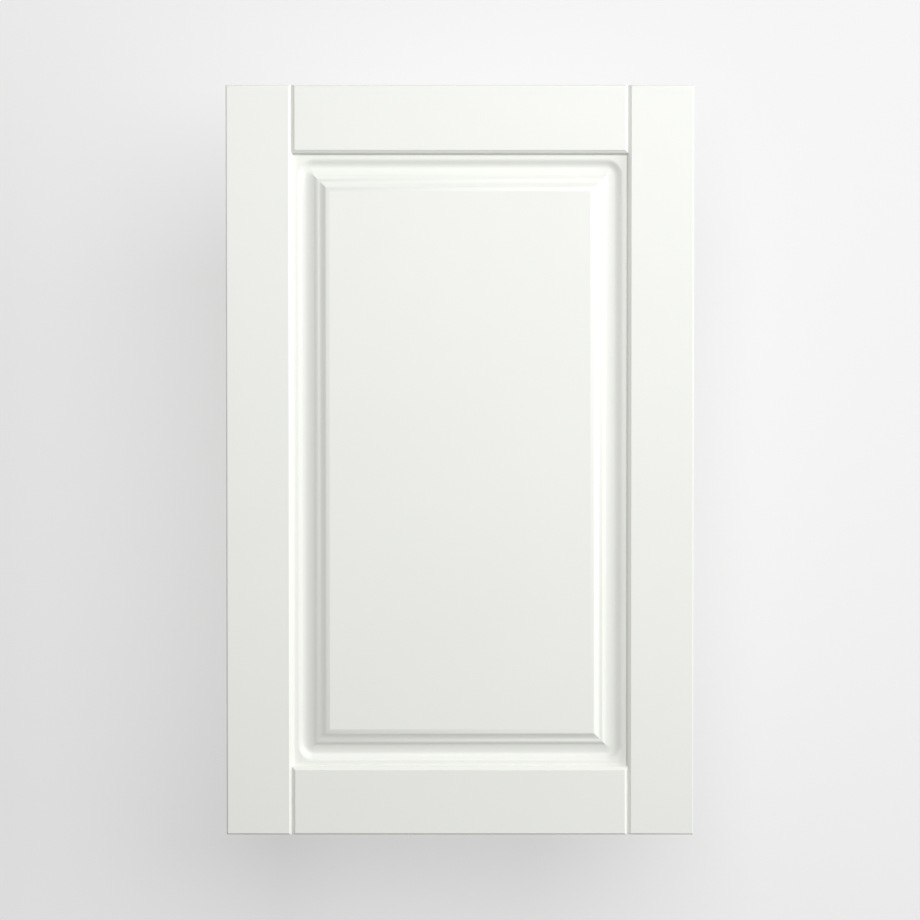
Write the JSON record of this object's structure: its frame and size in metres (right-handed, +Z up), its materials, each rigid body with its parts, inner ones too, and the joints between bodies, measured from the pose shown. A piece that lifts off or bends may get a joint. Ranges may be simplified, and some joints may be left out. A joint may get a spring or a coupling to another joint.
{
  "type": "kitchen cabinet door",
  "caption": "Painted frame-and-panel door for a kitchen unit, with V-jointed corners, a moulded raised panel and hinge-cup bores in its back.",
  "frame": {"origin": "middle of the door's bottom edge, at mid thickness", "axes": "+X to the right as seen from the front, +Y from the front to the back, +Z up the door"},
  "size_m": [0.446, 0.02, 0.715],
  "materials": {
    "paint": "satin off-white paint on fibreboard",
    "beech": "bare fluted beech"
  },
  "bodies": {
    "root": {"left_stile": "paint", "right_stile": "paint", "bottom_rail": "paint", "top_rail": "paint", "raised_panel": "paint", "dowel_bottom_left_outer": "beech", "dowel_bottom_left_inner": "beech", "dowel_bottom_right_outer": "beech", "dowel_bottom_right_inner": "beech", "dowel_top_left_outer": "beech", "dowel_top_left_inner": "beech", "dowel_top_right_outer": "beech", "dowel_top_right_inner": "beech"}
  },
  "joints": []
}
